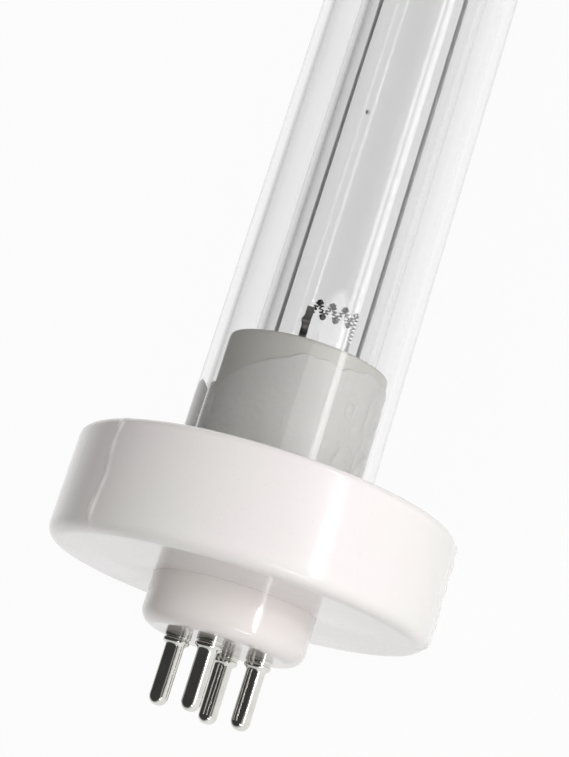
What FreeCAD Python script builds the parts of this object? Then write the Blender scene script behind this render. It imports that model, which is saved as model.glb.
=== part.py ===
import FreeCAD, Part
import Sketcher
import math
import os
import re

# A four-pin germicidal lamp: a quartz discharge tube inside a quartz sleeve, on a ceramic base
# with a thick flange. The lamp lies along +X. The origin is the middle of the flange's pin side.

Vector = FreeCAD.Vector
Rotation = FreeCAD.Rotation
Placement = FreeCAD.Placement

doc = FreeCAD.newDocument("germicidal_lamp")
sheet = doc.addObject("Spreadsheet::Sheet", "Sizes")

# Driving dimensions in millimetres, and one angle in degrees.
SIZES = {
    "sleeve_od": 24.5,
    "sleeve_wall": 1.5,
    "dome_room": 1.0,
    "lamp_od": 15.8,
    "lamp_wall": 1.0,
    "lamp_total": 287.0,
    "lamp_shift": 0.45,
    "lamp_turn": 232.7,
    "flange_od": 48.0,
    "flange_thick": 13.8,
    "flange_pin_edge": 1.6,
    "flange_tube_edge": 0.8,
    "seat_depth": 5.0,
    "seat_gap": 0.25,
    "base_od": 20.5,
    "base_floor": 5.0,
    "boss_height": 6.2,
    "boss_edge": 2.0,
    "plug_height": 16.9,
    "plug_edge": 0.5,
    "lamp_gap": 0.5,
    "groove_bore": 1.8,
    "pin_across": 6.35,
    "pin_up": 7.92,
    "pin_dia": 2.35,
    "pin_length": 8.9,
    "pin_tip_edge": 1.1,
    "collar_dia": 3.3,
    "collar_height": 1.1,
    "rivet_height": 0.8,
    "pinch_stand": 10.0,
    "pinch_length": 9.0,
    "pinch_width": 15.0,
    "pinch_thick": 3.4,
    "shoulder_length": 5.0,
    "shoulder_taper": 0.1,
    "shoulder_lap": 0.0001,
    "cap_length": 20.0,
    "cap_wall": 1.2,
    "cap_floor": 3.0,
    "cap_edge": 1.2,
    "cap_gap": 0.15,
    "cap_room": 5.5,
    "cement_rise": 12.5,
    "cement_bead": 0.9,
    "lamp_cement": 6.5,
    "cap_cement": 5.0,
    "post_left": 2.15,
    "post_right": 3.7,
    "post_dia": 0.5,
    "post_step": 2.2,
    "tab_width": 0.95,
    "tab_thick": 0.5,
    "tab_height": 4.4,
    "seal_depth": 1.5,
    "foil_width": 1.8,
    "foil_thick": 0.1,
    "coil_stand": 19.8,
    "coil_radius": 0.95,
    "coil_cord": 0.36,
    "coil_turns": 3.5,
    "lead_dia": 0.6,
    "return_dia": 0.8,
    "return_side": 6.5,
    "return_behind": 5.4,
    "wire_bend": 1.2,
    "bead_dia": 0.6,
    "bead_along": 67.5,
    "bead_side": 2.95,
}

for row, (alias, value) in enumerate(SIZES.items(), start=1):
    sheet.set(f"A{row}", alias.replace("_", " "))
    sheet.set(f"B{row}", str(value))
    sheet.setAlias(f"B{row}", alias)
doc.recompute()

# Places along the axis that several pieces share, as formulas of the sizes.
PLUG_TOP = "(flange_thick + plug_height)"
SEAT_FLOOR = "(flange_thick - seat_depth)"
CAVITY_FLOOR = "(base_floor - boss_height)"
NEAR_FOOT = f"({CAVITY_FLOOR} + pinch_stand)"
CAP_FACE = "(lamp_total - boss_height)"
FAR_FOOT = f"({CAP_FACE} - cap_floor - cap_room)"
BORE_RADIUS = "(lamp_od / 2 + lamp_gap)"
SLEEVE_BORE = "(sleeve_od / 2 - sleeve_wall)"
DOME_CENTRE = f"({CAP_FACE} + dome_room)"
LAMP_Y = "(lamp_shift * cos(lamp_turn * 1 deg))"
LAMP_Z = "(lamp_shift * sin(lamp_turn * 1 deg))"
PIN_HEAD = f"({CAVITY_FLOOR} + rivet_height)"
CAP_BORE = f"({SLEEVE_BORE} - cap_gap - cap_wall)"

# What repeats: the two ends of the discharge tube, the two sides of each, and the pin of each wire.
ENDS = (("near", NEAR_FOOT, "+"), ("far", FAR_FOOT, "-"))
POST_SIDES = (("left", "-post_left"), ("right", "post_right"))
RETURN_SIDES = (("left", "-return_side"), ("right", "return_side"))
NEAR_PINS = {"left": 2, "right": 4}
RETURN_PINS = {"left": 1, "right": 3}

# How finely the filament's line is set out, how full the pinch's shoulder swells, and what counts as equal.
POINTS_PER_TURN = 8
SHOULDER_SWELL = 8
NEAR_ENOUGH = 0.001
VOLUME_SHARE = 0.05


def cells(formula):
    """A formula of size names, written for the sheet's cells."""
    return re.sub(r"[a-z]+_[a-z_]+", lambda word: "Sizes." + word.group(0), formula)


def at(formula):
    """The value of a formula of size names."""
    return float(sheet.evalExpression(cells(formula)))


def bind(thing, **formulas):
    """Ties properties of a thing to formulas; two underscores in a name stand for a dot."""
    for prop, formula in formulas.items():
        thing.setExpression(prop.replace("__", "."), cells(formula))
    return thing


def rod(name, radius, start, end, y="0", z="0"):
    """A plain round solid along X between two places."""
    cylinder = bind(doc.addObject("Part::Cylinder", name), Radius=radius, Height=f"{end} - {start}")
    cylinder.Placement = Placement(Vector(), Rotation(Vector(0, 1, 0), 90))
    return bind(cylinder, Placement__Base__x=start, Placement__Base__y=y, Placement__Base__z=z)


def ball(name, radius, x, y="0", z="0"):
    """A whole sphere at a place."""
    sphere = bind(doc.addObject("Part::Sphere", name), Radius=radius)
    return bind(sphere, Placement__Base__x=x, Placement__Base__y=y, Placement__Base__z=z)


def lamp_y(side, behind="0"):
    """Row Y of a point given beside and behind the discharge tube's own axis."""
    return f"({LAMP_Y} + ({side}) * cos(lamp_turn * 1 deg) - ({behind}) * sin(lamp_turn * 1 deg))"


def lamp_z(side, behind="0"):
    """Row Z of a point given beside and behind the discharge tube's own axis."""
    return f"({LAMP_Z} + ({side}) * sin(lamp_turn * 1 deg) + ({behind}) * cos(lamp_turn * 1 deg))"


def in_lamp(thing, x, side="0", behind="0"):
    """Turns a primitive with the discharge tube and stands it at a place beside the tube's axis."""
    turn = Rotation(Vector(1, 0, 0), at("lamp_turn"))
    thing.Placement = Placement(Vector(), turn.multiply(thing.Placement.Rotation))
    return bind(thing, Placement__Base__x=x, Placement__Base__y=lamp_y(side, behind),
                Placement__Base__z=lamp_z(side, behind))


def lamp_rod(name, radius, start, end, side="0", behind="0"):
    """A round solid along X, placed beside the discharge tube's own axis."""
    return rod(name, radius, start, end, lamp_y(side, behind), lamp_z(side, behind))


def lamp_block(name, start, end, width, thick, side="0"):
    """A box along X, wide and thick about the discharge tube's own axes."""
    box = bind(doc.addObject("Part::Box", name), Length=f"{end} - {start}", Width=width, Height=thick)
    return in_lamp(box, start, f"{side} - {width} / 2", f"0 - {thick} / 2")


def joined(name, pieces):
    """The union of some solids."""
    union = doc.addObject("Part::MultiFuse", name)
    union.Shapes = pieces
    union.Refine = True
    return union


def cut(name, stock, tools):
    """The stock with the tools taken away."""
    difference = doc.addObject("Part::Cut", name)
    difference.Base = stock
    difference.Tool = tools[0] if len(tools) == 1 else joined(name + "_tools", tools)
    return difference


def turned(name, corners):
    """A solid of revolution about X, from corners given as formulas of place and radius."""
    body = doc.addObject("PartDesign::Body", name)
    sketch = body.newObject("Sketcher::SketchObject", name + "_outline")
    planes = [plane for plane in body.Origin.OriginFeatures if plane.Role == "XY_Plane"]
    sketch.AttachmentSupport = [(planes[0], "")]
    sketch.MapMode = "FlatFace"
    spots = [Vector(at(x), at(radius), 0) for x, radius in corners]
    count = len(spots)
    for index in range(count):
        sketch.addGeometry(Part.LineSegment(spots[index], spots[(index + 1) % count]))
    for index in range(count):
        sketch.addConstraint(Sketcher.Constraint("Coincident", index, 2, (index + 1) % count, 1))
    for index, (x, radius) in enumerate(corners):
        for kind, formula, value in (("DistanceX", x, spots[index].x), ("DistanceY", radius, spots[index].y)):
            if formula == "0":
                axis = -2 if kind == "DistanceX" else -1
                sketch.addConstraint(Sketcher.Constraint("PointOnObject", index, 1, axis))
            else:
                number = sketch.addConstraint(Sketcher.Constraint(kind, -1, 1, index, 1, value))
                sketch.setExpression(f"Constraints[{number}]", cells(formula))
    solid = body.newObject("PartDesign::Revolution", name + "_turning")
    solid.Profile = sketch
    solid.ReferenceAxis = (sketch, ["H_Axis"])
    solid.Angle = 360
    doc.recompute()
    return body


def round_rim(body, x, radius, edge):
    """Rounds the circular edge of a turned body at a place and radius."""
    names = []
    stock = body.Tip
    for number, rim in enumerate(stock.Shape.Edges, start=1):
        if isinstance(rim.Curve, Part.Circle) and abs(rim.Curve.Radius - at(radius)) < NEAR_ENOUGH \
                and abs(rim.Curve.Center.x - at(x)) < NEAR_ENOUGH:
            names.append(f"Edge{number}")
    fillet = body.newObject("PartDesign::Fillet", f"{body.Name}_round_{len(body.Group)}")
    fillet.Base = (stock, names)
    bind(fillet, Radius=edge)
    doc.recompute()
    return body


def named(thing, label):
    """Gives a finished sub-part its Label."""
    thing.Label = label
    nodes.append(thing)
    return thing


nodes = []


# The flange is a thick glazed ring, with a seat for the foot of the sleeve on the tube side.
def make_flange():
    ring = turned("flange", [
        ("0", "base_od / 2"),
        ("0", "flange_od / 2"),
        ("flange_thick", "flange_od / 2"),
        ("flange_thick", "sleeve_od / 2 + seat_gap"),
        (SEAT_FLOOR, "sleeve_od / 2 + seat_gap"),
        (SEAT_FLOOR, "base_od / 2"),
    ])
    round_rim(ring, "0", "flange_od / 2", "flange_pin_edge")
    round_rim(ring, "flange_thick", "flange_od / 2", "flange_tube_edge")
    named(ring, "flange_ring")


def pin_spots():
    """The four pin places as formulas of Y and Z."""
    return [(f"0 {side} pin_across / 2", f"0 {height} pin_up / 2") for height in "+-" for side in "+-"]


def grooves(name, start, end):
    """Round rods where the two return wires run beside the discharge tube."""
    return [lamp_rod(f"{name}_groove_{side}", "groove_bore / 2", start, end, offset, "return_behind")
            for side, offset in RETURN_SIDES]


# The base is one turned ceramic cup: a boss under the flange, a core through it and a plug above.
# Its bore takes the foot of the discharge tube, with two grooves for the return wires.
def make_base():
    cup = turned("base", [
        ("-boss_height", "0"),
        ("-boss_height", "base_od / 2"),
        (PLUG_TOP, "base_od / 2"),
        (PLUG_TOP, BORE_RADIUS),
        (CAVITY_FLOOR, BORE_RADIUS),
        (CAVITY_FLOOR, "0"),
    ])
    round_rim(cup, "-boss_height", "base_od / 2", "boss_edge")
    round_rim(cup, PLUG_TOP, "base_od / 2", "plug_edge")
    holes = [rod(f"pin_hole_{number}", "pin_dia / 2", "-boss_height", CAVITY_FLOOR, y, z)
             for number, (y, z) in enumerate(pin_spots(), start=1)]
    named(cut("base_drilled", cup, holes + grooves("base", CAVITY_FLOOR, PLUG_TOP)), "ceramic_base")


# Each pin is turned, with a collar outside, a riveted head inside and a rounded tip.
def make_pins():
    tip = "-boss_height - pin_length"
    for number, (y, z) in enumerate(pin_spots(), start=1):
        pin = turned(f"pin_{number}", [
            (tip, "0"),
            (tip, "pin_dia / 2"),
            ("-boss_height - collar_height - (collar_dia - pin_dia) / 2", "pin_dia / 2"),
            ("-boss_height - collar_height", "collar_dia / 2"),
            ("-boss_height", "collar_dia / 2"),
            ("-boss_height", "pin_dia / 2"),
            (CAVITY_FLOOR, "pin_dia / 2"),
            (CAVITY_FLOOR, "collar_dia / 2"),
            (PIN_HEAD, "collar_dia / 2"),
            (PIN_HEAD, "0"),
        ])
        round_rim(pin, tip, "pin_dia / 2", "pin_tip_edge")
        bind(pin, Placement__Base__y=y, Placement__Base__z=z)
        named(pin, f"contact_pin_{number}")


# The sleeve is one drawn quartz tube, closed by a round dome at the far end.
def make_sleeve():
    outside = [rod("sleeve_tube", "sleeve_od / 2", SEAT_FLOOR, DOME_CENTRE),
               ball("sleeve_dome", "sleeve_od / 2", DOME_CENTRE)]
    inside = [rod("sleeve_bore", SLEEVE_BORE, SEAT_FLOOR, DOME_CENTRE),
              ball("sleeve_hollow", SLEEVE_BORE, DOME_CENTRE)]
    named(cut("sleeve_quartz", joined("sleeve_stock", outside), inside), "sleeve")


# Cement fills the gap between plug and sleeve, and beds the sleeve's foot in the flange.
def make_sleeve_cements():
    named(turned("plug_cement", [
        (SEAT_FLOOR, "base_od / 2"),
        (SEAT_FLOOR, SLEEVE_BORE),
        ("flange_thick + cement_rise", SLEEVE_BORE),
        ("flange_thick + cement_rise - cement_bead", "base_od / 2"),
    ]), "sleeve_cement")
    named(turned("foot_cement", [
        (SEAT_FLOOR, "sleeve_od / 2"),
        (SEAT_FLOOR, "sleeve_od / 2 + seat_gap"),
        ("flange_thick", "sleeve_od / 2 + seat_gap"),
        ("flange_thick", "sleeve_od / 2 + cement_bead"),
        ("flange_thick + cement_bead", "sleeve_od / 2"),
    ]), "flange_cement")


def oval(name, half_width, half_thick, x):
    """An ellipse across X, wide along the discharge tube's own side axis."""
    ring = bind(doc.addObject("Part::Ellipse", name), MajorRadius=half_width, MinorRadius=half_thick)
    ring.Placement = Placement(Vector(), Rotation(Vector(0, 1, 0), Vector(0, 0, 1), Vector(1, 0, 0), "ZXY"))
    return in_lamp(ring, x)


def tube_stock(name, radius, flat):
    """The round tube with a soft shoulder at each end, where it narrows to the flat pinch."""
    stock = []
    ends = []
    for end, foot, step in ENDS:
        start = f"{foot} {step} pinch_length"
        rings = [
            oval(f"{name}_{end}_flat", f"{radius} - shoulder_taper", flat, start),
            oval(f"{name}_{end}_middle", f"{radius} - shoulder_taper / 5",
                 f"({radius} + {flat}) / 2 + {radius} / {SHOULDER_SWELL}",
                 f"{start} {step} shoulder_length / 2"),
            oval(f"{name}_{end}_round", f"{radius} + shoulder_lap", radius, f"{start} {step} shoulder_length"),
        ]
        loft = doc.addObject("Part::Loft", f"{name}_{end}_shoulder")
        loft.Sections = rings
        loft.Solid = True
        stock.append(loft)
        ends.append(f"({start} {step} shoulder_length)")
    return stock + [lamp_rod(name + "_round", radius, *ends)]


def crotch(foot, step, deeper="0"):
    """Where a pinch opens into the tube, or a depth back into its glass."""
    return f"({foot} {step} (pinch_length - ({deeper})))"


def sorted_ends(one, other):
    """Two places along X, the lower first."""
    return (one, other) if at(one) < at(other) else (other, one)


# Inside each pinch a foil joins the post of the electrode to the wire outside.
def make_foils():
    for end, foot, step in ENDS:
        low, high = sorted_ends(crotch(foot, step, "seal_depth"), f"({foot} {step} seal_depth)")
        for side, y in POST_SIDES:
            named(lamp_block(f"{end}_{side}_strip", low, high, "foil_width", "foil_thick", y),
                  f"{end}_foil_{side}")


# Each electrode stands on two posts. The left one ends in a flattened tab, the right one is plain.
def make_posts():
    for end, foot, step in ENDS:
        seat = crotch(foot, step, "seal_depth")
        top = f"({crotch(foot, step)} {step} (coil_stand - coil_radius - post_step))"
        tab_foot = f"({top} {step} (0 - tab_height))"
        rods = {side: lamp_rod(f"{end}_{side}_rod", "post_dia / 2", *sorted_ends(seat, top), y)
                for side, y in POST_SIDES}
        tab = lamp_block(f"{end}_tab", *sorted_ends(tab_foot, top), "tab_width", "tab_thick", "-post_left")
        named(joined(f"{end}_left_support", [rods["left"], tab]), f"{end}_post_left")
        named(rods["right"], f"{end}_post_right")


def lamp_frame():
    """The discharge tube's own frame in the row."""
    return Placement(Vector(0, at(LAMP_Y), at(LAMP_Z)), Rotation(Vector(1, 0, 0), at("lamp_turn")))


def swept(path, radius):
    """A round section carried along a path, with its volume compared with section times length."""
    start = path.Edges[0]
    first = start.FirstParameter
    circle = Part.Circle(start.valueAt(first), start.tangentAt(first), radius)
    solid = path.makePipeShell([Part.Wire([circle.toShape()])], True, False)
    expected = math.pi * radius ** 2 * path.Length
    assert abs(abs(solid.Volume) - expected) < VOLUME_SHARE * expected, "a swept wire has the wrong volume"
    return solid


def coil_path(middle, out):
    """The filament's middle line: up from the left post, round the loops and down to the right post."""
    radius = at("coil_radius")
    left = -at("post_left")
    right = at("post_right")
    post_top = -radius - at("post_step")
    rise = at("post_step") / 4
    points = [(post_top + rise * share, left, 0) for share in (0, 1, 2, 3)]
    steps = round(at("coil_turns") * POINTS_PER_TURN)
    for step in range(1, steps):
        angle = 2 * math.pi * at("coil_turns") * step / steps
        points.append((-radius * math.cos(angle), left + (right - left) * step / steps,
                       radius * math.sin(angle)))
    points.append((radius / 3, right, 0))
    points += [(post_top + rise * share, right, 0) for share in (4, 2, 1, 0)]
    curve = Part.BSplineCurve()
    curve.interpolate([Vector(middle + out * x, side, behind) for x, side, behind in points])
    return Part.Wire([curve.toShape()])


# The filament is an open coil of a few loops between the posts, with a tail down to each.
def make_filaments():
    for end, foot, step in ENDS:
        middle = at(f"{crotch(foot, step)} {step} coil_stand")
        filament = doc.addObject("Part::Feature", f"{end}_coil")
        filament.Shape = swept(coil_path(middle, 1 if step == "+" else -1), at("coil_cord") / 2)
        filament.Placement = lamp_frame()
        named(filament, f"{end}_filament")


def bent_wire(name, dia, points):
    """A round wire through straight runs joined by tangent arcs of one radius."""
    bend = at("wire_bend")
    edges = []
    start = points[0]
    for before, corner, after in zip(points, points[1:], points[2:]):
        back = (before - corner).normalize()
        ahead = (after - corner).normalize()
        half = (math.pi - back.getAngle(ahead)) / 2
        if half < NEAR_ENOUGH:
            continue
        reach = bend * math.tan(half)
        enter = corner + back * reach
        leave = corner + ahead * reach
        inward = (back + ahead).normalize()
        middle = corner + inward * (bend / math.cos(half) - bend)
        edges.append(Part.LineSegment(start, enter).toShape())
        edges.append(Part.Arc(enter, middle, leave).toShape())
        start = leave
    edges.append(Part.LineSegment(start, points[-1]).toShape())
    wire = doc.addObject("Part::Feature", name)
    wire.Shape = swept(Part.Wire(edges), dia / 2)
    return wire


def lamp_spot(x, side, behind="0"):
    """A point beside the discharge tube's own axis."""
    return Vector(at(x), at(lamp_y(side, behind)), at(lamp_z(side, behind)))


def pin_spot(number, x):
    """A point on the axis of one pin."""
    y, z = pin_spots()[number - 1]
    return Vector(at(x), at(y), at(z))


# Two short wires join the near seals to pins, and two long ones come back from the far end.
def make_wires():
    turn_in = f"({PIN_HEAD} + wire_bend)"
    for side, y in POST_SIDES:
        named(bent_wire(f"near_{side}_wire", at("lead_dia"), [
            lamp_spot(f"{NEAR_FOOT} + seal_depth", y),
            lamp_spot(f"{NEAR_FOOT} - wire_bend", y),
            pin_spot(NEAR_PINS[side], turn_in),
            pin_spot(NEAR_PINS[side], PIN_HEAD),
        ]), f"near_wire_{side}")
    beyond = f"({FAR_FOOT} + cap_room - 2 * return_dia)"
    sides = dict(RETURN_SIDES)
    for side, y in POST_SIDES:
        named(bent_wire(f"far_{side}_wire", at("return_dia"), [
            lamp_spot(f"{FAR_FOOT} - seal_depth", y),
            lamp_spot(beyond, y),
            lamp_spot(beyond, sides[side], "return_behind"),
            lamp_spot(f"{NEAR_FOOT} - wire_bend", sides[side], "return_behind"),
            pin_spot(RETURN_PINS[side], turn_in),
            pin_spot(RETURN_PINS[side], PIN_HEAD),
        ]), f"return_wire_{side}")


# The discharge tube is one piece of quartz, pinched flat at both ends over the foil seals.
def make_lamp_tube():
    outside = tube_stock("lamp", "(lamp_od / 2)", "(pinch_thick / 2 + lamp_wall / 4)")
    for end, foot, step in ENDS:
        outside.append(lamp_block(f"{end}_pinch", *sorted_ends(foot, crotch(foot, step, "0 - lamp_wall")),
                                  "pinch_width", "pinch_thick"))
    hollow = tube_stock("hollow", "(lamp_od / 2 - lamp_wall)", "(pinch_thick / 2 - lamp_wall / 4)")
    sealed = [node for node in nodes if re.search("_foil_|_post_|_wire_", node.Label)]
    named(cut("lamp_quartz", joined("lamp_outside", outside), hollow + sealed), "lamp_tube")


# Cement holds the near end of the discharge tube in the base, and the cap on its far end.
def make_lamp_cements():
    wires = [node for node in nodes if node.Label.startswith("return_wire")]
    tube = lamp_rod("bonded_tube", "lamp_od / 2", NEAR_FOOT, FAR_FOOT)
    mouth = f"({PLUG_TOP} - plug_edge)"
    low = f"({mouth} - lamp_cement)"
    filling = [rod("bore_filling", BORE_RADIUS, low, mouth)] + grooves("filling", low, mouth)
    named(cut("base_bond", joined("base_filling", filling), [tube] + wires), "lamp_cement")
    mouth = f"({CAP_FACE} - cap_length + plug_edge)"
    filling = rod("cap_filling", CAP_BORE, mouth, f"({mouth} + cap_cement)")
    named(cut("cap_bond", filling, [tube] + wires), "cap_cement")


# A ceramic cap covers the far pinch and the turn of the return wires, and centres them in the sleeve.
def make_cap():
    outer = f"({SLEEVE_BORE} - cap_gap)"
    mouth = f"({CAP_FACE} - cap_length)"
    floor = f"({CAP_FACE} - cap_floor)"
    cap = turned("cap", [
        (mouth, CAP_BORE),
        (mouth, outer),
        (CAP_FACE, outer),
        (CAP_FACE, "0"),
        (floor, "0"),
        (floor, CAP_BORE),
    ])
    round_rim(cap, CAP_FACE, outer, "cap_edge")
    named(cap, "far_cap")


# A droplet of mercury clings to the wall inside the discharge tube.
def make_mercury():
    behind = "sqrt((lamp_od / 2 - lamp_wall - bead_dia / 2) ^ 2 - bead_side ^ 2)"
    named(ball("mercury_ball", "bead_dia / 2", "bead_along", lamp_y("-bead_side", behind),
               lamp_z("-bead_side", behind)), "mercury_drop")


make_flange()
make_base()
make_pins()
make_sleeve()
make_sleeve_cements()
make_foils()
make_posts()
make_filaments()
make_wires()
make_lamp_tube()
make_cap()
make_lamp_cements()
make_mercury()
doc.recompute()

for thing in doc.Objects:
    assert not {"Invalid", "Error"} & set(thing.State), f"{thing.Name} failed: {thing.State}"
for node in nodes:
    assert not node.Shape.isNull() and node.Shape.isValid(), f"{node.Label} has no valid shape"
    assert len(node.Shape.Solids) == 1, f"{node.Label} has {len(node.Shape.Solids)} solids"

os.makedirs("parts", exist_ok=True)
for node in nodes:
    node.Shape.exportStep(f"parts/{node.Label}.step")
    box = node.Shape.BoundBox
    print(f"{node.Label}: {node.Shape.Volume:.2f} mm3, x {box.XMin:.2f} to {box.XMax:.2f}")
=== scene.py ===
# %% [markdown]
# # A four-pin germicidal lamp
# The lamp is a discharge tube of quartz inside a wider quartz sleeve. A ceramic base with a thick
# flange holds both, and four plated pins stand under it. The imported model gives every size, so this
# lesson only adds what a camera sees: glaze, glass, cement, metal and light.
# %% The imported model
import math

import bmesh
import bpy
import numpy as np
from mathutils import Matrix, Vector, noise


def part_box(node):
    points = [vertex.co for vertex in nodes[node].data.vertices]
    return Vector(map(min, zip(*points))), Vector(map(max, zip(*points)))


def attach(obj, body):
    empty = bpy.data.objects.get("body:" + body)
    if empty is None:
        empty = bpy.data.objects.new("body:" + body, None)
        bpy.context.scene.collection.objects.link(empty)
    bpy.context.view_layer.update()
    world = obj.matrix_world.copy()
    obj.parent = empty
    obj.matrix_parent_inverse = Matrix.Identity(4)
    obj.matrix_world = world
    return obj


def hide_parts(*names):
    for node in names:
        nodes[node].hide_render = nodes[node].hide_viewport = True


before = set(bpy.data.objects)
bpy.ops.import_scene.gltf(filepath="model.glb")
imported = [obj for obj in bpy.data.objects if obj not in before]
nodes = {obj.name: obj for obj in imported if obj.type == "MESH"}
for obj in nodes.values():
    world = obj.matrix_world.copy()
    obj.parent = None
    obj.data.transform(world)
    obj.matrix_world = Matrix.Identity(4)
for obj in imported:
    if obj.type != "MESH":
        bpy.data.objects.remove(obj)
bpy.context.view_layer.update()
MM = 0.001
print("pieces in the packed model:", len(nodes))

# %% [markdown]
# ## The camera
# The photograph looks at the lamp from the pin side, close by, and turned so that the lamp stands up
# in the picture. The camera is written as a place and three directions, which say it exactly.
# %% The camera
CAMERA_PLACE = Vector((-34.1325, -180.1889, 140.0248)) * MM
PICTURE_RIGHT = Vector((0.29048799, -0.64067098, -0.71074427))
PICTURE_DOWN = Vector((-0.92024838, 0.01649916, -0.39098682))
LOOKING = Vector((0.26222059, 0.76763824, -0.58478363))

lens = bpy.data.cameras.new("photo_camera")
lens.sensor_fit = "VERTICAL"
lens.sensor_height = 36
lens.lens = 90.43
lens.clip_start = 0.01
camera = bpy.data.objects.new("photo_camera", lens)
turn = Matrix((PICTURE_RIGHT, -PICTURE_DOWN, -LOOKING)).transposed()
camera.matrix_world = Matrix.Translation(CAMERA_PLACE) @ turn.to_4x4()
bpy.context.scene.collection.objects.link(camera)
bpy.context.scene.camera = camera
bpy.context.scene.view_settings.view_transform = "Standard"
print("the camera is", round(CAMERA_PLACE.length, 3), "m from the flange")

# %% [markdown]
# ## Sizes from the frame
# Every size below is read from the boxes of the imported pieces. Places round the lamp are given as
# degrees from the line that faces the camera, positive to the right in the picture.
# %% Sizes
low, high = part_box("flange_ring")
FLANGE_RADIUS = high.z
FLANGE_TOP = high.x
low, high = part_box("ceramic_base")
BASE_RADIUS = high.z
BOSS_FACE = low.x
PLUG_TOP = high.x
low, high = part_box("sleeve")
SLEEVE_RADIUS = high.z
SLEEVE_FOOT = low.x
SLEEVE_TIP = high.x
SLEEVE_WALL = 1.5 * MM
SLEEVE_BORE = SLEEVE_RADIUS - SLEEVE_WALL
FACING = 142.7


def around(degrees):
    """The angle from +Y towards +Z of a place so many degrees right of the camera's side."""
    return math.radians(FACING + degrees)


print("flange radius", round(FLANGE_RADIUS, 4), "plug top", round(PLUG_TOP, 4))

# %% [markdown]
# ## Nodes written as sums
# A shader tree is a sum written as boxes and lines. One small class wraps a socket, so that a mask
# can be written as `1 - streaks * 0.5`, and one method adds any other node.
# %% Sums of sockets


class Wire:
    """One output of a node, which can be added, subtracted and multiplied like a number."""

    def __init__(self, maker, socket):
        self.maker = maker
        self.socket = socket

    def sum(self, operation, first, second):
        return self.maker.node("ShaderNodeMath", {"operation": operation}, {0: first, 1: second})

    def __add__(self, other):
        return self.sum("ADD", self, other)

    __radd__ = __add__

    def __sub__(self, other):
        return self.sum("SUBTRACT", self, other)

    def __rsub__(self, other):
        return self.sum("SUBTRACT", other, self)

    def __mul__(self, other):
        return self.sum("MULTIPLY", self, other)

    __rmul__ = __mul__

    def __truediv__(self, other):
        return self.sum("DIVIDE", self, other)

    def __rtruediv__(self, other):
        return self.sum("DIVIDE", other, self)

    def __pow__(self, other):
        return self.sum("POWER", self, other)


class Maker:
    """Adds nodes to one tree."""

    def __init__(self, tree):
        self.tree = tree

    def plug(self, socket, value):
        if isinstance(value, Wire):
            self.tree.links.new(value.socket, socket)
        else:
            socket.default_value = value

    def node(self, kind, settings=None, inputs=None, output=0):
        made = self.tree.nodes.new(kind)
        for name, value in (settings or {}).items():
            setattr(made, name, value)
        for name, value in (inputs or {}).items():
            self.plug(made.inputs[name], value)
        return Wire(self, made.outputs[output])


# %% [markdown]
# ## A finish
# Each finish is a Principled shader. What is the same all over is set on its sockets. What varies
# comes from noise on Object coordinates, which stay with the piece from every side.
# %% Finishes


def paint(red, green, blue):
    """A colour given as it shows on a screen, in linear values for a shader."""
    return tuple((part / 255) ** 2.2 for part in (red, green, blue)) + (1,)


class Finish(Maker):
    """A material with a Principled shader and noise patterns on Object coordinates."""

    def __init__(self, name, **constants):
        self.material = bpy.data.materials.new(name)
        self.material.use_nodes = True
        super().__init__(self.material.node_tree)
        self.shader = self.tree.nodes["Principled BSDF"]
        for socket, value in constants.items():
            self.shader.inputs[socket.replace("_", " ")].default_value = value

    def place(self, stretch=(1, 1, 1)):
        spot = self.node("ShaderNodeTexCoord", output="Object")
        return self.node("ShaderNodeMapping", {}, {"Vector": spot, "Scale": stretch})

    def noise(self, size, detail=2, stretch=(1, 1, 1)):
        """Soft noise whose patches are about so many millimetres across."""
        return self.node("ShaderNodeTexNoise", {}, {
            "Vector": self.place(stretch), "Scale": 1 / (size * MM), "Detail": detail})

    def ramp(self, value, low, high):
        """0 below the low value, 1 above the high one."""
        return self.node("ShaderNodeMapRange", {"interpolation_type": "SMOOTHSTEP"}, {
            "Value": value, "From Min": low, "From Max": high})

    def along(self):
        """How far along the lamp a point is, in metres."""
        spot = self.node("ShaderNodeTexCoord", output="Object")
        return self.node("ShaderNodeSeparateXYZ", {}, {0: spot}, output=0)

    def mixed(self, share, first, second):
        return self.node("ShaderNodeMix", {"data_type": "RGBA"}, {0: share, 6: first, 7: second}, output=2)

    def bump(self, height, depth):
        """Raises the surface by a height from 0 to 1 times a depth in millimetres."""
        return self.node("ShaderNodeBump", {}, {"Height": height, "Distance": depth * MM, "Strength": 1.0})

    def feed(self, **inputs):
        for socket, value in inputs.items():
            self.plug(self.shader.inputs[socket.replace("_", " ")], value)
        return self.material


# %% [markdown]
# ## The glaze
# The flange is dipped in a thick glaze, a pinkish white with greener patches where it is thin. It is
# very glossy, gently uneven like orange peel, and dotted with tiny pits from burst bubbles.
# %% The glaze
glaze = Finish("glazed_ceramic", IOR=1.52, Coat_Roughness=0.03)
pink = glaze.ramp(glaze.noise(22, 3), 0.38, 0.66)
peel = glaze.noise(2.6, 2)
specks = glaze.ramp(glaze.noise(0.42, 1), 0.69, 0.78)
GLAZE = glaze.feed(
    Base_Color=glaze.mixed(specks * 0.25, glaze.mixed(pink, paint(243, 240, 236), paint(247, 240, 240)),
                           paint(214, 205, 200)),
    Roughness=0.07 + glaze.noise(6, 3) * 0.10 + specks * 0.2,
    Coat_Weight=0.35 + pink * 0.3,
    Normal=glaze.bump(peel + specks * -0.35 + glaze.noise(0.9, 2) * 0.18, 0.035),
)

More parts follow.
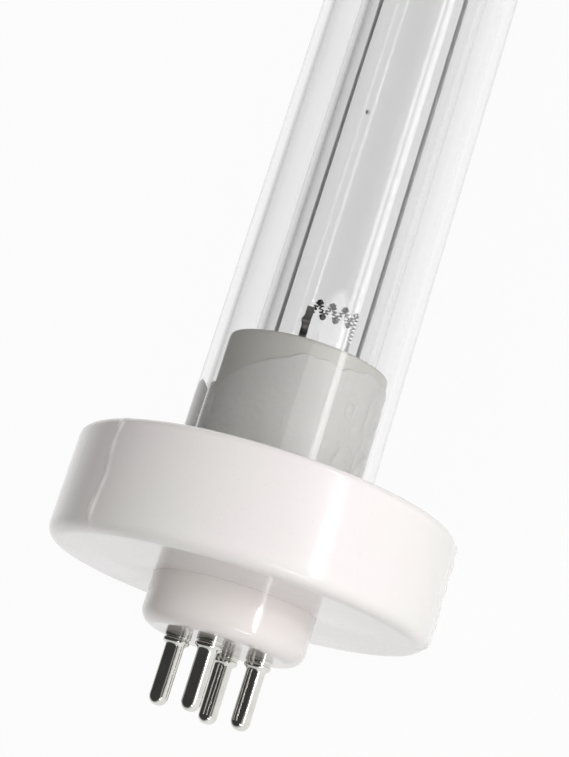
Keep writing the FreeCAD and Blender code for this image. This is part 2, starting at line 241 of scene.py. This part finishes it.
# %% [markdown]
# ## The base
# The base is one piece of fired steatite. The boss under the flange is glazed like the flange, and
# the plug inside the sleeve is barer and more ivory, so the finish changes with place.
# %% The base
steatite = Finish("steatite", IOR=1.5, Coat_Roughness=0.05)
plug_share = steatite.ramp(steatite.along(), FLANGE_TOP - 0.004, FLANGE_TOP)
grain = steatite.noise(0.25, 4)
mottle = steatite.noise(5, 3)
STEATITE = steatite.feed(
    Base_Color=steatite.mixed(plug_share, steatite.mixed(mottle, paint(238, 230, 226), paint(243, 238, 235)),
                              steatite.mixed(mottle, paint(238, 236, 228), paint(246, 244, 237))),
    Roughness=0.08 + plug_share * 0.3 + grain * 0.08,
    Coat_Weight=0.5 - plug_share * 0.45,
    Normal=steatite.bump(mottle * 0.8 + grain * 0.12, 0.03),
)

# %% [markdown]
# ## Cement
# Lamp cement is a fine white paste that dries with small grains, pores and slight warm stains.
# %% Cement
cement = Finish("cement", IOR=1.45)
stain = cement.noise(3.2, 3)
pores = cement.ramp(cement.noise(0.22, 2), 0.66, 0.75)
CEMENT = cement.feed(
    Base_Color=cement.mixed(pores * 0.3, cement.mixed(stain, paint(249, 249, 244), paint(252, 249, 246)),
                            paint(196, 190, 182)),
    Roughness=0.32 + stain * 0.2,
    Normal=cement.bump(cement.noise(0.7, 4) - pores * 0.4, 0.11),
)

# %% [markdown]
# ## Metals
# The pins are bright nickel plate over drawn tube, so they carry very fine lines along their length
# and a few duller patches. The posts, wires and foils inside are bare and greyer.
# %% Metals


def metal(name, dark, light, rough, uneven, scratch_size, depth):
    """A metal with two tones, an uneven gloss and fine lines along the lamp."""
    finish = Finish(name, Metallic=1.0)
    patches = finish.noise(1.8, 3)
    lines = finish.noise(scratch_size, 2, (0.06, 1, 1))
    return finish.feed(
        Base_Color=finish.mixed(patches, dark, light),
        Roughness=rough + patches * uneven + lines * uneven * 0.5,
        Normal=finish.bump(lines * 0.6 + patches * 0.4, depth),
    )


PLATED = metal("plated_pin", paint(204, 201, 194), paint(236, 236, 233), 0.04, 0.08, 0.08, 0.006)
NICKEL = metal("nickel", paint(120, 118, 114), paint(168, 166, 162), 0.28, 0.2, 0.1, 0.02)
FOIL = metal("foil", paint(150, 150, 152), paint(182, 182, 184), 0.2, 0.15, 0.12, 0.01)
TUNGSTEN = metal("tungsten", paint(66, 66, 68), paint(122, 121, 120), 0.42, 0.2, 0.06, 0.01)
MERCURY = metal("mercury", paint(205, 206, 210), paint(222, 222, 226), 0.03, 0.02, 0.3, 0.001)

# %% [markdown]
# ## Sleeving on the return wires
# The two wires that come back from the far end wear a pale woven sleeving, so they hardly show.
# %% Sleeving
sleeving = Finish("sleeved_wire", IOR=1.46)
SLEEVED = sleeving.feed(
    Base_Color=sleeving.mixed(sleeving.noise(0.8, 2), paint(240, 240, 239), paint(249, 249, 248)),
    Roughness=0.5 + sleeving.noise(0.3, 2) * 0.2,
    Normal=sleeving.bump(sleeving.noise(0.12, 1), 0.02),
)

# %% [markdown]
# ## Quartz
# Fused quartz is clear right through. Both tubes have real walls, so light bends and is lost at each
# face as it is in the real ones. Drawing the tube leaves faint long streaks, which the bump gives.
# %% Quartz


def quartz(name, tint, streaks):
    finish = Finish(name, Transmission_Weight=1.0, IOR=1.458)
    lines = finish.noise(1.6, 2, (0.02, 1, 1))
    return finish.feed(
        Base_Color=finish.mixed(finish.noise(9, 2) * 0.3, tint, paint(255, 255, 255)),
        Roughness=finish.ramp(finish.noise(3, 3), 0.66, 0.8) * 0.03,
        Normal=finish.bump(lines, streaks),
    )


SLEEVE_QUARTZ = quartz("sleeve_quartz", paint(250, 250, 250), 0.006)
LAMP_QUARTZ = quartz("lamp_quartz", paint(246, 246, 246), 0.005)
print("finishes:", len(bpy.data.materials))

# %% [markdown]
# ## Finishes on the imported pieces
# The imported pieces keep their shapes, and only take a finish in their material slots.
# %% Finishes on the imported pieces
FINISH_OF = {
    "ceramic_base": STEATITE, "flange_ring": GLAZE, "far_cap": STEATITE,
    "sleeve": SLEEVE_QUARTZ, "lamp_tube": LAMP_QUARTZ, "sleeve_cement": CEMENT, "flange_cement": CEMENT,
    "lamp_cement": CEMENT, "cap_cement": CEMENT, "mercury_drop": MERCURY,
    "return_wire_left": SLEEVED, "return_wire_right": SLEEVED,
}
FINISH_BY_WORD = {"foil": FOIL, "post": NICKEL, "wire": NICKEL, "filament": TUNGSTEN, "contact_pin": PLATED}


def finish_of(name):
    """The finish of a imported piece, by its whole name or by a word in it."""
    return FINISH_OF.get(name) or next(found for word, found in FINISH_BY_WORD.items() if word in name)


for name, thing in nodes.items():
    thing.data.materials.clear()
    thing.data.materials.append(finish_of(name))
print("finished:", ", ".join(sorted(nodes)))

# %% [markdown]
# ## Turning a piece
# The flange and the sleeve are turned shapes. A small Geometry Nodes tree reads the points of half a
# section, carries them round the axis and lets the radius wander a little, as a mould does. One tree
# serves every turned piece.
# %% The turning tree


def turning_tree():
    """A tree that turns the points of a section about X."""
    tree = bpy.data.node_groups.new("turned_piece", "GeometryNodeTree")
    for name, kind in (("Section", "Object"), ("Around", "Int"), ("Wander", "Float"),
                       ("Patch", "Float"), ("Finish", "Material")):
        tree.interface.new_socket(name, in_out="INPUT", socket_type="NodeSocket" + kind)
    tree.interface.new_socket("Geometry", in_out="OUTPUT", socket_type="NodeSocketGeometry")
    made = Maker(tree)
    given = tree.nodes.new("NodeGroupInput")
    section, count, wander, patch, finish = (Wire(made, given.outputs[number]) for number in range(5))
    points = made.node("GeometryNodeObjectInfo", {}, {"Object": section}, output="Geometry")
    rows = made.node("GeometryNodeAttributeDomainSize", {"component": "MESH"}, {"Geometry": points})
    sheet = made.node("GeometryNodeMeshGrid", {}, {
        "Size X": 1.0, "Size Y": 1.0, "Vertices X": count + 1, "Vertices Y": rows})
    spot = made.node("GeometryNodeInputPosition")
    across = made.node("ShaderNodeSeparateXYZ", {}, {0: spot}, output=0) + 0.5
    down = made.node("ShaderNodeSeparateXYZ", {}, {0: spot}, output=1) + 0.5
    row = made.node("ShaderNodeMath", {"operation": "ROUND"}, {0: down * (rows - 1)})
    corner = made.node("GeometryNodeSampleIndex", {"data_type": "FLOAT_VECTOR"}, {
        "Geometry": points, "Value": made.node("GeometryNodeInputPosition"), "Index": row})
    place = made.node("ShaderNodeSeparateXYZ", {}, {0: corner}, output=0)
    radius = made.node("ShaderNodeSeparateXYZ", {}, {0: corner}, output=1)
    angle = across * math.tau
    cosine = made.node("ShaderNodeMath", {"operation": "COSINE"}, {0: angle})
    sine = made.node("ShaderNodeMath", {"operation": "SINE"}, {0: angle})
    even = made.node("ShaderNodeCombineXYZ", {}, {0: place, 1: radius * cosine, 2: radius * sine})
    uneven = made.node("ShaderNodeTexNoise", {}, {"Vector": even, "Scale": 1 / patch, "Detail": 1.0})
    wider = radius * (1 + (uneven - 0.5) * wander)
    moved = made.node("ShaderNodeCombineXYZ", {}, {0: place, 1: wider * cosine, 2: wider * sine})
    shape = made.node("GeometryNodeSetPosition", {}, {"Geometry": sheet, "Position": moved})
    shape = made.node("GeometryNodeMergeByDistance", {}, {"Geometry": shape, "Distance": 0.000002})
    shape = made.node("GeometryNodeSetShadeSmooth", {}, {"Geometry": shape})
    shape = made.node("GeometryNodeRealizeInstances", {}, {"Geometry": shape})
    shape = made.node("GeometryNodeSetMaterial", {}, {"Geometry": shape, "Material": finish})
    out = tree.nodes.new("NodeGroupOutput")
    tree.links.new(shape.socket, out.inputs[0])
    return tree


TURNING = turning_tree()
print("turning tree nodes:", len(TURNING.nodes))

# %% Baking a tree's result into a plain mesh


def new_piece(name, mesh, finish):
    """A finished piece that rides on the lamp, with the given finish in its material slot if it has none."""
    piece = bpy.data.objects.new(name, mesh)
    bpy.context.scene.collection.objects.link(piece)
    if not mesh.materials:
        mesh.materials.append(finish)
    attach(piece, "root")
    print(name, "faces:", len(mesh.polygons))
    return piece


SHARP = math.radians(40)


def outward(mesh):
    """Turns every face of a closed mesh outwards, and makes it smooth but for its sharp edges."""
    work = bmesh.new()
    work.from_mesh(mesh)
    bmesh.ops.recalc_face_normals(work, faces=work.faces)
    work.to_mesh(mesh)
    work.free()
    mesh.shade_smooth()
    mesh.set_sharp_from_angle(angle=SHARP)
    return mesh


def grown(tree, **inputs):
    """The plain mesh that a Geometry Nodes tree makes from its named inputs."""
    holder = bpy.data.objects.new("holder", bpy.data.meshes.new("holder"))
    bpy.context.scene.collection.objects.link(holder)
    modifier = holder.modifiers.new("grown", "NODES")
    modifier.node_group = tree
    for item in tree.interface.items_tree:
        if item.in_out == "INPUT" and item.name in inputs:
            modifier[item.identifier] = inputs[item.name]
    seen = holder.evaluated_get(bpy.context.evaluated_depsgraph_get())
    mesh = bpy.data.meshes.new_from_object(seen)
    bpy.data.objects.remove(holder)
    return mesh


def turned(corners, count, wander, patch, finish):
    """The closed mesh that turning a section about X gives."""
    section = bpy.data.meshes.new("section")
    section.from_pydata([(x, radius, 0) for x, radius in corners], [], [])
    holder = bpy.data.objects.new("section", section)
    bpy.context.scene.collection.objects.link(holder)
    mesh = grown(TURNING, Section=holder, Around=count, Wander=wander, Patch=patch, Finish=finish)
    bpy.data.objects.remove(holder)
    return outward(mesh)


# %% [markdown]
# ## The section of the flange
# A section is a list of points: straight runs, and an arc at each rounded corner.
# %% Sections


def rounded(corners, steps=8):
    """A section from corners of place, radius and rounding, with an arc at each rounded corner."""
    points = []
    count = len(corners)
    for number, (x, radius, edge) in enumerate(corners):
        here = Vector((x, radius))
        if not edge:
            points.append(here)
            continue
        back = (Vector(corners[number - 1][:2]) - here).normalized()
        ahead = (Vector(corners[(number + 1) % count][:2]) - here).normalized()
        for step in range(steps + 1):
            share = step / steps * math.pi / 2
            points.append(here + back * edge * (1 - math.sin(share)) + ahead * edge * (1 - math.cos(share)))
    return [tuple(point) for point in points]


def run(points, longest):
    """The same section, closed, with long runs divided."""
    divided = []
    for start, end in zip(points, points[1:] + points[:1]):
        pieces = max(1, math.ceil(math.dist(start, end) / longest))
        divided += [tuple(np.array(start) + (np.array(end) - np.array(start)) * part / pieces)
                    for part in range(pieces)]
    return divided + [divided[0]]


FLANGE_SECTION = run(rounded([
    (0, BASE_RADIUS + 0.01 * MM, 0),
    (0, FLANGE_RADIUS - 0.05 * MM, 1.7 * MM),
    (FLANGE_TOP, FLANGE_RADIUS - 0.05 * MM, 1.0 * MM),
    (FLANGE_TOP, SLEEVE_RADIUS + 0.26 * MM, 0),
    (SLEEVE_FOOT, SLEEVE_RADIUS + 0.26 * MM, 0),
    (SLEEVE_FOOT, BASE_RADIUS + 0.01 * MM, 0),
]), 0.5 * MM)
print("flange section points:", len(FLANGE_SECTION))

# %% [markdown]
# ## The flange
# The mould leaves a raised seam at each joint, wavy and broken where the glaze has run over it. The
# seams are added to the turned shape, as a narrow ridge whose height wanders along the flange.
# %% The flange
SEAMS = ((-50.5, 0.16, 0.34), (83.0, 0.30, 0.7))


def add_seams(mesh, seams):
    """Raises ridges along the lamp at some angles, each with a height and width in millimetres."""
    for vertex in mesh.vertices:
        spot = vertex.co
        radius = math.hypot(spot.y, spot.z)
        if radius < FLANGE_RADIUS - 1.2 * MM:
            continue
        angle = math.atan2(spot.z, spot.y)
        for degrees, height, width in seams:
            waver = noise.noise(Vector((spot.x * 260, degrees, 0))) * 0.5 * MM
            gap = (angle - around(degrees) + math.pi) % math.tau - math.pi
            off = abs(gap) * radius + waver * (1 if gap > 0 else -1)
            lift = height * MM * math.exp(-(off / (width * MM)) ** 2)
            lift *= 0.75 + 0.9 * noise.noise(Vector((spot.x * 700, degrees, 3)))
            vertex.co.y += lift * math.cos(angle)
            vertex.co.z += lift * math.sin(angle)


flange_mesh = turned(FLANGE_SECTION, 640, 0.006, 0.016, GLAZE)
add_seams(flange_mesh, SEAMS)
flange = new_piece("flange_glazed", outward(flange_mesh), GLAZE)
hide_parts("flange_ring")

# %% [markdown]
# ## The sleeve
# The sleeve is a long straight tube closed by a dome. It is turned with many steps, because a coarse
# round shows as bands in clear quartz.
# %% The sleeve
DOME_STEPS = 40
dome_centre = SLEEVE_TIP - SLEEVE_RADIUS


def dome(radius):
    """A quarter circle from the side of the tube to its tip."""
    bends = [math.pi / 2 * step / DOME_STEPS for step in range(DOME_STEPS + 1)]
    return [(dome_centre + radius * math.sin(bend), radius * math.cos(bend)) for bend in bends]


SLEEVE_SECTION = run([(SLEEVE_FOOT, SLEEVE_RADIUS)] + dome(SLEEVE_RADIUS) + dome(SLEEVE_BORE)[::-1]
                     + [(SLEEVE_FOOT, SLEEVE_BORE)], 20 * MM)
sleeve_mesh = turned(SLEEVE_SECTION, 256, 0.0, 0.05, SLEEVE_QUARTZ)
sleeve = new_piece("sleeve_clear", sleeve_mesh, SLEEVE_QUARTZ)
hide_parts("sleeve")

# %% [markdown]
# ## The cement round the plug
# The cement was pressed in by hand. In front it lies smooth against the quartz, with a curved upper
# edge. On the right it dried in folds, and on the left a lump touches the sleeve's wall.
# %% The cement's upper edge
RIM = ((-180, 26.0), (-150, 24.5), (-120, 22.5), (-100, 23.6), (-80, 23.8), (-66, 22.4), (-49, 24.0),
       (-35, 25.8), (-23, 27.0), (-6, 28.1), (11, 28.7), (21, 28.0), (28, 28.6), (40, 28.9), (62, 28.8),
       (85, 28.0), (110, 27.0), (145, 27.6), (180, 26.0))


def rim_height(degrees):
    """How far along the lamp the cement reaches at a place round the plug, in metres."""
    places, heights = zip(*RIM)
    return float(np.interp(degrees, places, heights)) * MM


FOLD_PLACES = (-180, -110, -92, -60, -48, 26, 34, 120, 180)
FOLD_DEPTHS = (1, 1, 0.75, 0.75, 0.1, 0.0, 1, 1, 1)


def fold(spot, degrees):
    """How deep the cement's folds are at a point, from 0 where it lies flat to 1."""
    side = np.interp(degrees, FOLD_PLACES, FOLD_DEPTHS)
    bent = Vector((spot.x * 150 + 2 * noise.noise(spot * 260), spot.y * 330, spot.z * 330))
    crease = 1 - abs(2 * noise.noise(bent))
    return float(side) * (0.25 + 0.75 * max(0.0, crease) ** 3)


# %% The cement ring
CEMENT_AROUND = 540
CEMENT_ROWS = 64
BEAD_ROWS = 8
WALL_TOUCH = 0.06 * MM


def cement_mesh():
    """A ring between plug and sleeve, its outside in folds and its upper edge a soft bead."""
    points = []
    for turn_step in range(CEMENT_AROUND):
        degrees = 360 * turn_step / CEMENT_AROUND - 180
        angle = around(degrees)
        waver = noise.noise(Vector((math.cos(angle) * 4, math.sin(angle) * 4, 1)))
        top = rim_height(degrees) + 0.5 * MM * waver
        touch = float(np.interp(degrees, (-118, -104, -72, -60), (0, 1, 1, 0))) * 1.3
        for row in range(CEMENT_ROWS + BEAD_ROWS + 1):
            share = min(1.0, row / CEMENT_ROWS)
            x = SLEEVE_FOOT + (top - SLEEVE_FOOT) * share
            spot = Vector((x, BASE_RADIUS * math.cos(angle), BASE_RADIUS * math.sin(angle)))
            outer = SLEEVE_BORE - 0.02 * MM - 0.42 * MM * fold(spot, degrees) * (1 - min(1, touch))
            outer += WALL_TOUCH * min(1, touch)
            inner = BASE_RADIUS + 0.005 * MM
            if row > CEMENT_ROWS:
                bend = (row - CEMENT_ROWS) / BEAD_ROWS * math.pi / 2
                radius = inner + (outer - inner) * math.cos(bend)
                x += 0.25 * MM * math.sin(bend)
            else:
                radius = outer
            points.append((x, radius * math.cos(angle), radius * math.sin(angle)))
        points.append((SLEEVE_FOOT, inner * math.cos(angle), inner * math.sin(angle)))
    rows = CEMENT_ROWS + BEAD_ROWS + 2
    faces = []
    for turn_step in range(CEMENT_AROUND):
        here = turn_step * rows
        there = (turn_step + 1) % CEMENT_AROUND * rows
        for row in range(rows):
            after = (row + 1) % rows
            faces.append((here + row, here + after, there + after, there + row))
    mesh = bpy.data.meshes.new("cement_folds")
    mesh.from_pydata(points, [], faces)
    return outward(mesh)


cement_ring = new_piece("cement_folds", cement_mesh(), CEMENT)
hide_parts("sleeve_cement")

# %% [markdown]
# ## The filament
# Each filament is a fine wire wound twice: a tight coil, wound again into a few open loops between
# the posts. Geometry Nodes wind the tight coil along the loops' middle line.
# %% The winding tree


def winding_tree():
    """A tree that winds a fine wire round the line of a curve object."""
    tree = bpy.data.node_groups.new("wound_wire", "GeometryNodeTree")
    for name, kind in (("Line", "Object"), ("Points", "Int"), ("Turns", "Float"), ("Winding", "Float"),
                       ("Wire", "Float"), ("Finish", "Material")):
        tree.interface.new_socket(name, in_out="INPUT", socket_type="NodeSocket" + kind)
    tree.interface.new_socket("Geometry", in_out="OUTPUT", socket_type="NodeSocketGeometry")
    made = Maker(tree)
    given = tree.nodes.new("NodeGroupInput")
    line, points, turns, winding, wire, finish = (Wire(made, given.outputs[number]) for number in range(6))
    curve = made.node("GeometryNodeObjectInfo", {}, {"Object": line}, output="Geometry")
    curve = made.node("GeometryNodeResampleCurve", {}, {"Curve": curve, "Count": points})
    share = made.node("GeometryNodeSplineParameter")
    angle = share * turns * math.tau
    normal = made.node("GeometryNodeInputNormal")
    tangent = made.node("GeometryNodeInputTangent")
    side = made.node("ShaderNodeVectorMath", {"operation": "CROSS_PRODUCT"}, {0: tangent, 1: normal})
    cosine = made.node("ShaderNodeMath", {"operation": "COSINE"}, {0: angle})
    sine = made.node("ShaderNodeMath", {"operation": "SINE"}, {0: angle})
    one = made.node("ShaderNodeVectorMath", {"operation": "SCALE"}, {0: normal, "Scale": cosine * winding})
    two = made.node("ShaderNodeVectorMath", {"operation": "SCALE"}, {0: side, "Scale": sine * winding})
    offset = made.node("ShaderNodeVectorMath", {"operation": "ADD"}, {0: one, 1: two})
    curve = made.node("GeometryNodeSetPosition", {}, {"Geometry": curve, "Offset": offset})
    ring = made.node("GeometryNodeCurvePrimitiveCircle", {}, {"Resolution": 6, "Radius": wire})
    shape = made.node("GeometryNodeCurveToMesh", {}, {"Curve": curve, "Profile Curve": ring, "Fill Caps": True})
    shape = made.node("GeometryNodeRealizeInstances", {}, {"Geometry": shape})
    shape = made.node("GeometryNodeSetMaterial", {}, {"Geometry": shape, "Material": finish})
    out = tree.nodes.new("NodeGroupOutput")
    tree.links.new(shape.socket, out.inputs[0])
    return tree


WINDING = winding_tree()

# %% The filaments
LAMP_TURN = math.radians(232.7)
LAMP_SHIFT = 0.45 * MM
LOOP_RADIUS = 0.95 * MM
LOOPS = 3.5
STEP_DOWN = 2.2 * MM


def in_lamp(x, side, behind):
    """A row point from a place along the lamp and offsets beside and behind the discharge tube's axis."""
    cosine, sine = math.cos(LAMP_TURN), math.sin(LAMP_TURN)
    beside = LAMP_SHIFT + side
    return Vector((x, beside * cosine - behind * sine, beside * sine + behind * cosine))


def loops_line(name, end):
    """The middle line of one filament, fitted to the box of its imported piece."""
    low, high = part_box(f"{end}_filament")
    out = 1 if end == "near" else -1
    middle = (high.x if out > 0 else low.x) - out * (LOOP_RADIUS + 0.18 * MM)
    left, right = -2.15 * MM, 3.7 * MM
    post_top = -LOOP_RADIUS - STEP_DOWN
    points = [(post_top + STEP_DOWN / 4 * part, left, 0) for part in (0, 1, 2, 3)]
    steps = round(LOOPS * 16)
    for step in range(1, steps):
        bend = math.tau * LOOPS * step / steps
        points.append((-LOOP_RADIUS * math.cos(bend), left + (right - left) * step / steps,
                       LOOP_RADIUS * math.sin(bend)))
    points += [(LOOP_RADIUS / 3, right, 0)]
    points += [(post_top + STEP_DOWN / 4 * part, right, 0) for part in (4, 2, 1, 0)]
    data = bpy.data.curves.new(name, "CURVE")
    data.dimensions = "3D"
    spline = data.splines.new("POLY")
    spline.points.add(len(points) - 1)
    for point, (x, side, behind) in zip(spline.points, points):
        point.co = (*in_lamp(middle + out * x, side, behind), 1)
    line = bpy.data.objects.new(name, data)
    bpy.context.scene.collection.objects.link(line)
    return line


for end in ("near", "far"):
    line = loops_line(f"{end}_line", end)
    mesh = grown(WINDING, Line=line, Points=1500, Turns=52.0, Winding=0.23 * MM, Wire=0.10 * MM,
                 Finish=TUNGSTEN)
    bpy.data.objects.remove(line)
    coil = new_piece(f"{end}_coil_wound", outward(mesh), TUNGSTEN)
    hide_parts(f"{end}_filament")

# %% [markdown]
# ## The pins
# Each pin has a polished collar with a groove, a narrow shining ring under it, a straight shank and a
# round tip. Solder has run over the tip, so the last stretch is lumpy.
# %% The pins
SHANK_RADIUS = 1.175 * MM
PIN_AROUND = 96


def pin_mesh(name):
    """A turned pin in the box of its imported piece, with solder lumps near its tip."""
    low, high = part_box(name)
    collar = (high.z - low.z) / 2
    section = run(rounded([
        (high.x, 0, 0),
        (high.x, collar, 0.2 * MM),
        (high.x - 0.8 * MM, collar, 0),
        (high.x - 0.8 * MM, SHANK_RADIUS, 0),
        (BOSS_FACE, SHANK_RADIUS, 0),
        (BOSS_FACE, collar, 0),
        (BOSS_FACE - 0.62 * MM, collar, 0.12 * MM),
        (BOSS_FACE - 0.62 * MM, collar - 0.16 * MM, 0),
        (BOSS_FACE - 0.78 * MM, collar - 0.16 * MM, 0),
        (BOSS_FACE - 0.78 * MM, collar, 0.12 * MM),
        (BOSS_FACE - 1.18 * MM, collar, 0.14 * MM),
        (BOSS_FACE - 1.50 * MM, SHANK_RADIUS + 0.06 * MM, 0),
        (BOSS_FACE - 1.66 * MM, SHANK_RADIUS, 0),
        (low.x, SHANK_RADIUS, 1.1 * MM),
        (low.x, 0, 0),
    ]), 0.25 * MM)
    mesh = turned(section, PIN_AROUND, 0.0, 0.05, PLATED)
    middle = (low + high) / 2
    for vertex in mesh.vertices:
        near_tip = max(0.0, 1 - (vertex.co.x - low.x) / (2.6 * MM))
        here = vertex.co * 900 + Vector((0, middle.y * 5000, middle.z * 5000))
        lump = 0.10 * MM * near_tip * max(0.0, noise.noise(here) + 0.15)
        radius = math.hypot(vertex.co.y, vertex.co.z)
        vertex.co.y += middle.y + (vertex.co.y / radius * lump if radius else 0)
        vertex.co.z += middle.z + (vertex.co.z / radius * lump if radius else 0)
    return outward(mesh)


for number in range(1, 5):
    pin = new_piece(f"pin_{number}_turned", pin_mesh(f"contact_pin_{number}"), PLATED)
    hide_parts(f"contact_pin_{number}")

# %% [markdown]
# ## The strip beside the near filament
# A bent strip stands on the left post and reaches almost to the top of the filament. It has a small
# bulge half way up, and its foot curls over the post.
# %% The strip
STRIP_SIDE = -2.15 * MM
STRIP_WIDTH = 0.95 * MM
STRIP_THICK = 0.16 * MM
STRIP_FOOT = 33.7 * MM
STRIP_TOP = 37.3 * MM
STRIP_ROWS = 24


def strip_mesh():
    """A thin bent strip along the lamp, from the post to beside the filament."""
    points = []
    for row in range(STRIP_ROWS + 1):
        share = row / STRIP_ROWS
        x = STRIP_FOOT + (STRIP_TOP - STRIP_FOOT) * share
        bulge = 0.22 * MM * math.exp(-((share - 0.45) / 0.12) ** 2)
        curl = 0.5 * MM * max(0.0, 1 - share / 0.25) ** 2
        near = -1.05 * MM + curl - bulge
        left, right = STRIP_SIDE - STRIP_WIDTH / 2 - bulge, STRIP_SIDE + STRIP_WIDTH / 2
        far = near + STRIP_THICK
        for side, behind in ((left, near), (right, near), (right, far), (left, far)):
            points.append(in_lamp(x, side, behind))
    faces = [(0, 1, 2, 3), tuple(STRIP_ROWS * 4 + corner for corner in (3, 2, 1, 0))]
    for row in range(STRIP_ROWS):
        for corner in range(4):
            after = (corner + 1) % 4
            faces.append((row * 4 + corner, row * 4 + after, row * 4 + 4 + after, row * 4 + 4 + corner))
    mesh = bpy.data.meshes.new("electrode_strip")
    mesh.from_pydata(points, [], faces)
    return outward(mesh)


new_piece("electrode_strip", strip_mesh(), NICKEL)

# %% [markdown]
# ## Floor and light
# The lamp lies on a white table. It touches it with the flange's rim and the dome, so the table is
# tilted a little against the lamp's axis. The table takes soft shadow, and its white is kept by a
# share of plain white that only the camera, mirrors and glass see.
# %% The floor
FLOOR_REST = Vector((FLANGE_TOP, 0, -FLANGE_RADIUS))
FLOOR_TILT = math.atan2(FLANGE_RADIUS - SLEEVE_RADIUS, SLEEVE_TIP - SLEEVE_RADIUS - FLANGE_TOP)


def stage_sheet(name, width, depth, place, turned_by, material):
    """A flat sheet for the stage, which isn't part of the lamp."""
    mesh = bpy.data.meshes.new(name)
    half = (width / 2, depth / 2)
    mesh.from_pydata([(-half[0], -half[1], 0), (half[0], -half[1], 0), (half[0], half[1], 0),
                      (-half[0], half[1], 0)], [], [(0, 1, 2, 3)])
    mesh.materials.append(material)
    sheet = bpy.data.objects.new(name, mesh)
    bpy.context.scene.collection.objects.link(sheet)
    sheet.matrix_world = Matrix.Translation(place) @ turned_by
    return sheet


def shown(maker):
    """1 for what the camera, a mirror or glass sees, 0 for light on its way to a matt surface."""
    path = [maker.node("ShaderNodeLightPath", output=name)
            for name in ("Is Camera Ray", "Is Glossy Ray", "Is Transmission Ray")]
    seen = maker.node("ShaderNodeMath", {"operation": "MINIMUM"}, {0: path[0] + path[1] + path[2], 1: 1.0})
    matt = maker.node("ShaderNodeLightPath", output="Diffuse Depth")
    return seen * (1 - maker.node("ShaderNodeMath", {"operation": "MINIMUM"}, {0: matt, 1: 1.0}))


def floor_material(white_share):
    """A matt white with a share of plain white in it for what is shown."""
    finish = Finish("floor_white", Roughness=0.9)
    finish.shader.inputs["Base Color"].default_value = paint(244, 244, 245)
    glow = finish.node("ShaderNodeEmission", {}, {"Color": (1, 1, 1, 1), "Strength": 1.0})
    mix = finish.node("ShaderNodeMixShader", {}, {
        0: shown(finish) * white_share, 1: Wire(finish, finish.shader.outputs[0]), 2: glow})
    finish.plug(finish.tree.nodes["Material Output"].inputs["Surface"], mix)
    return finish.material


tilt = Matrix.Rotation(-FLOOR_TILT, 4, "Y")
floor = stage_sheet("floor", 6, 6, FLOOR_REST, tilt, floor_material(0.95))
print("floor tilt in degrees:", round(math.degrees(FLOOR_TILT), 2))

# %% [markdown]
# ## The room
# The room above the table is a soft grey, so the quartz and the pins have something dark to show.
# %% The room


def room(light, top, edge):
    """Plain light for matt surfaces, and a grey room above a pale horizon for mirrors and glass."""
    world = bpy.data.worlds.new("room")
    world.use_nodes = True
    bpy.context.scene.world = world
    made = Maker(world.node_tree)
    direction = made.node("ShaderNodeTexCoord", output="Generated")
    height = made.node("ShaderNodeSeparateXYZ", {}, {0: direction}, output=2)
    climb = made.node("ShaderNodeMapRange", {"interpolation_type": "SMOOTHSTEP"}, {
        "Value": height, "From Min": 0.02, "From Max": 0.45, "To Min": edge, "To Max": top})
    seen = shown(made)
    strength = seen * climb + (1 - seen) * light
    background = made.tree.nodes["Background"]
    background.inputs["Color"].default_value = (1, 1, 1, 1)
    made.plug(background.inputs["Strength"], strength)


room(light=0.40, top=0.05, edge=0.8)

# %% Soft lamps


def soft_lamp(name, place, aim, width, height, power, mirrored=True):
    """A rectangular soft lamp that points at a place, and may be left out of mirrors."""
    data = bpy.data.lights.new(name, "AREA")
    data.shape = "RECTANGLE"
    data.size = width
    data.size_y = height
    data.energy = power
    lamp = bpy.data.objects.new(name, data)
    bpy.context.scene.collection.objects.link(lamp)
    lamp.location = place
    lamp.rotation_mode = "QUATERNION"
    lamp.rotation_quaternion = (Vector(aim) - Vector(place)).to_track_quat("-Z", "Y")
    lamp.visible_glossy = mirrored
    return lamp


soft_lamp("front_strip", (0.12, -0.42, -0.01), (0.05, 0, 0), 0.6, 0.05, 0.5)
soft_lamp("window", (0.085, -0.60, 0.0), (0, 0, 0), 0.05, 0.05, 0.35)
soft_lamp("front_fill", (0.0, -0.6, 0.2), (0.05, 0, 0), 0.5, 0.5, 1.45, mirrored=False)
soft_lamp("pin_side", (-0.30, -0.35, -0.02), (-0.01, 0, 0), 0.03, 0.4, 0.25)
